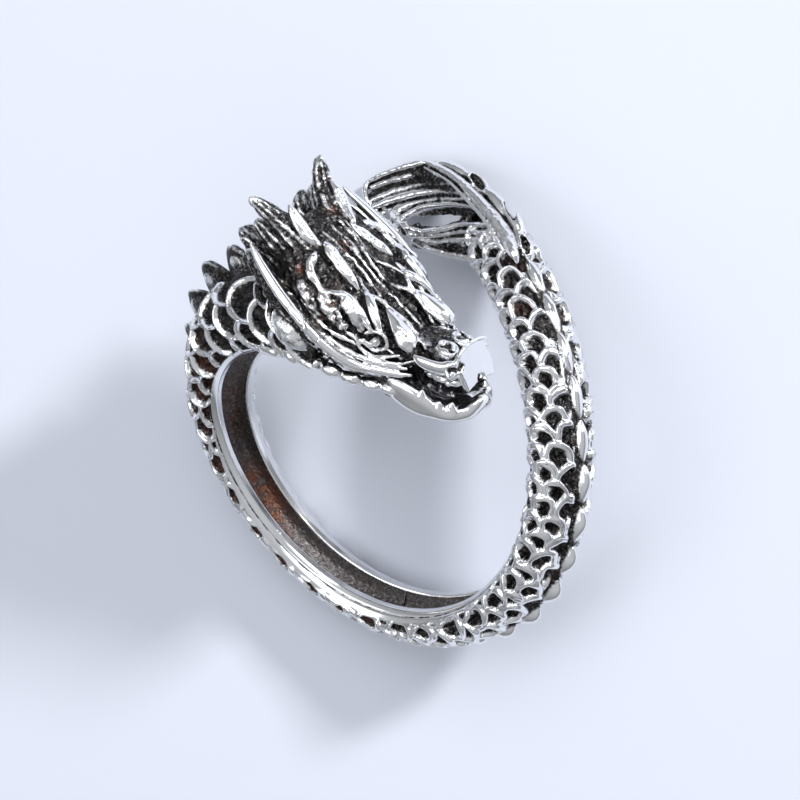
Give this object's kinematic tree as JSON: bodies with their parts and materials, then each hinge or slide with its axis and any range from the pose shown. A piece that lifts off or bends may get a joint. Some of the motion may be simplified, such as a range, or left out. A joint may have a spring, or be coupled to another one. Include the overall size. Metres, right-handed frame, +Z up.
{
  "type": "open dragon wrap ring",
  "caption": "Open wrap ring cast as a scaled dragon, its horned head and open mouth lying over a fan-shaped tail.",
  "frame": {"origin": "centre of the bounding box's bottom face, on the table that the ring lies on", "axes": "+Z up, square to the table on which the ring lies on its side; +Y along the table towards the top of the finger, where head and tail pass each other; +X along the table to the side that the snout points to"},
  "size_m": [0.025, 0.0294, 0.0158],
  "materials": {
    "silver": "polished high relief, blackened and grainy in the recesses, worn bright at the edges"
  },
  "bodies": {
    "root": {"dragon_ring": "silver"}
  },
  "joints": []
}
